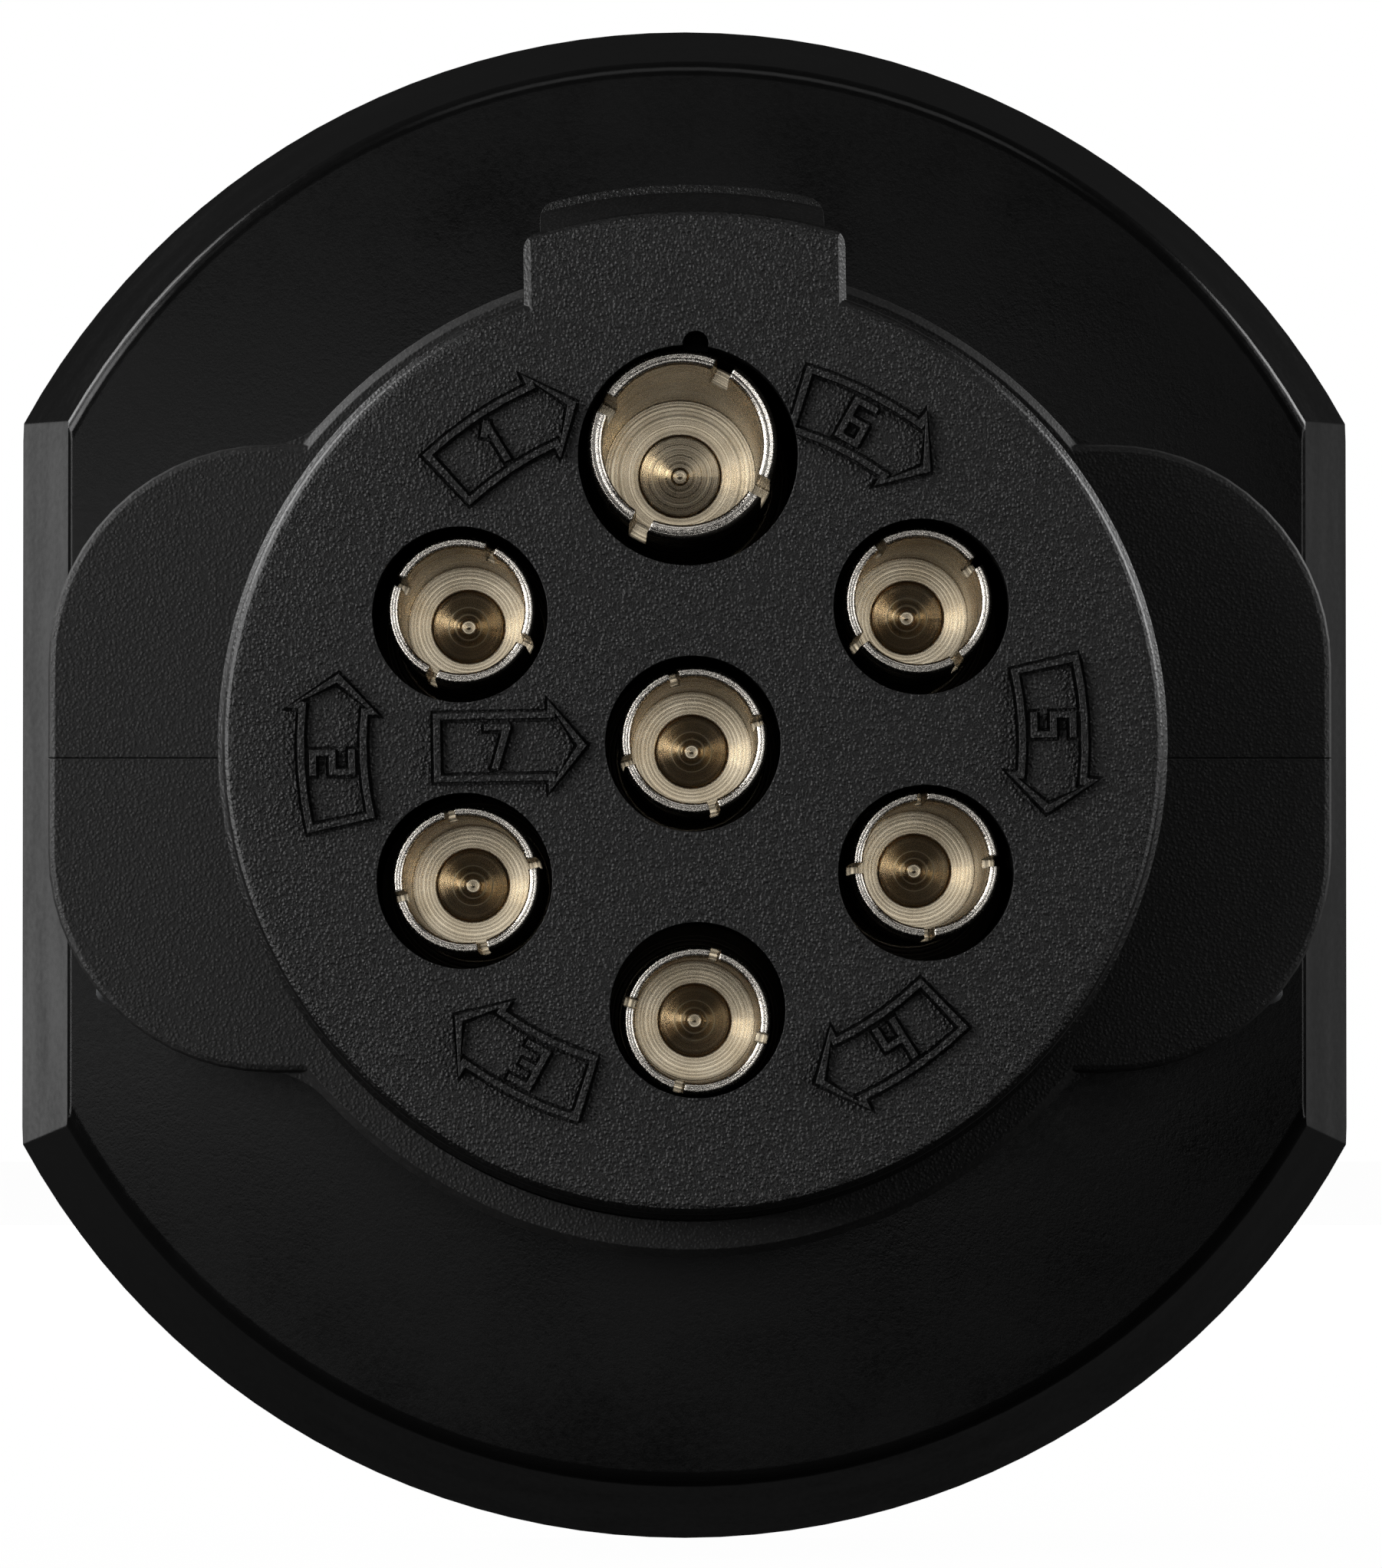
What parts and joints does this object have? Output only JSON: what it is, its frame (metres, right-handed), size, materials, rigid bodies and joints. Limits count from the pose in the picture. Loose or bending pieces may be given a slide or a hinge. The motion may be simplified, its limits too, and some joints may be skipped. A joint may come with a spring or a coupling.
{
  "type": "trailer wiring connector",
  "caption": "Round-pin trailer plug with a keyed nose, slotted contacts, finger wings and a flared rear hood that holds a blade socket with a sprung lid.",
  "frame": {"origin": "centre of the nose's front face, where the plug meets the floor of its socket", "axes": "+Y runs back along the plug's axis to the lid, +Z is the side of the key, +X is to the right seen from the front"},
  "size_m": [0.073, 0.0972, 0.083],
  "materials": {
    "housing": "fine spark-eroded grain, satin",
    "shell": "finer grain, satin",
    "hood": "smooth satin black",
    "socket": "moulded satin black",
    "seal": "matt",
    "contact": "nickel plated, turned",
    "steel": "zinc plated",
    "copper": "stranded copper",
    "wire_white": "insulation",
    "wire_brown": "insulation",
    "wire_green": "insulation",
    "wire_red": "insulation",
    "wire_yellow": "insulation",
    "wire_black": "insulation",
    "wire_blue": "insulation"
  },
  "bodies": {
    "plug": {"nose_housing": "housing", "nose_seal": "seal", "contact_retainer": "socket", "retainer_screws": "steel", "upper_shell": "shell", "lower_shell": "shell", "shell_screws": "steel", "jumper_cores": "copper", "rear_hood": "hood", "hood_seal": "seal", "blade_socket": "socket", "centre_pin": "contact", "blade_carrier": "socket", "terminal_plate": "socket", "terminal_screws": "steel", "socket_gasket": "seal", "socket_screws": "steel", "hinge_pin": "steel", "pin_clip": "steel", "lid_spring": "steel", "contact_white": "contact", "jumper_white": "wire_white", "blade_white": "contact", "contact_brown": "contact", "jumper_brown": "wire_brown", "blade_brown": "contact", "contact_green": "contact", "jumper_green": "wire_green", "blade_green": "contact", "contact_red": "contact", "jumper_red": "wire_red", "blade_red": "contact", "contact_yellow": "contact", "jumper_yellow": "wire_yellow", "blade_yellow": "contact", "contact_black": "contact", "jumper_black": "wire_black", "blade_black": "contact", "contact_blue": "contact", "jumper_blue": "wire_blue"},
    "lid": {"lid": "socket", "lid_gasket": "seal"}
  },
  "joints": [
    {"name": "lid_hinge", "type": "hinge", "parent": "plug", "child": "lid", "pos_m": [0, 0.0912, 0.0318], "axis": [1, 0, 0], "range_deg": [0, 110], "stiffness_Nm_per_rad": 0.02, "deforming": ["lid_spring"]}
  ]
}
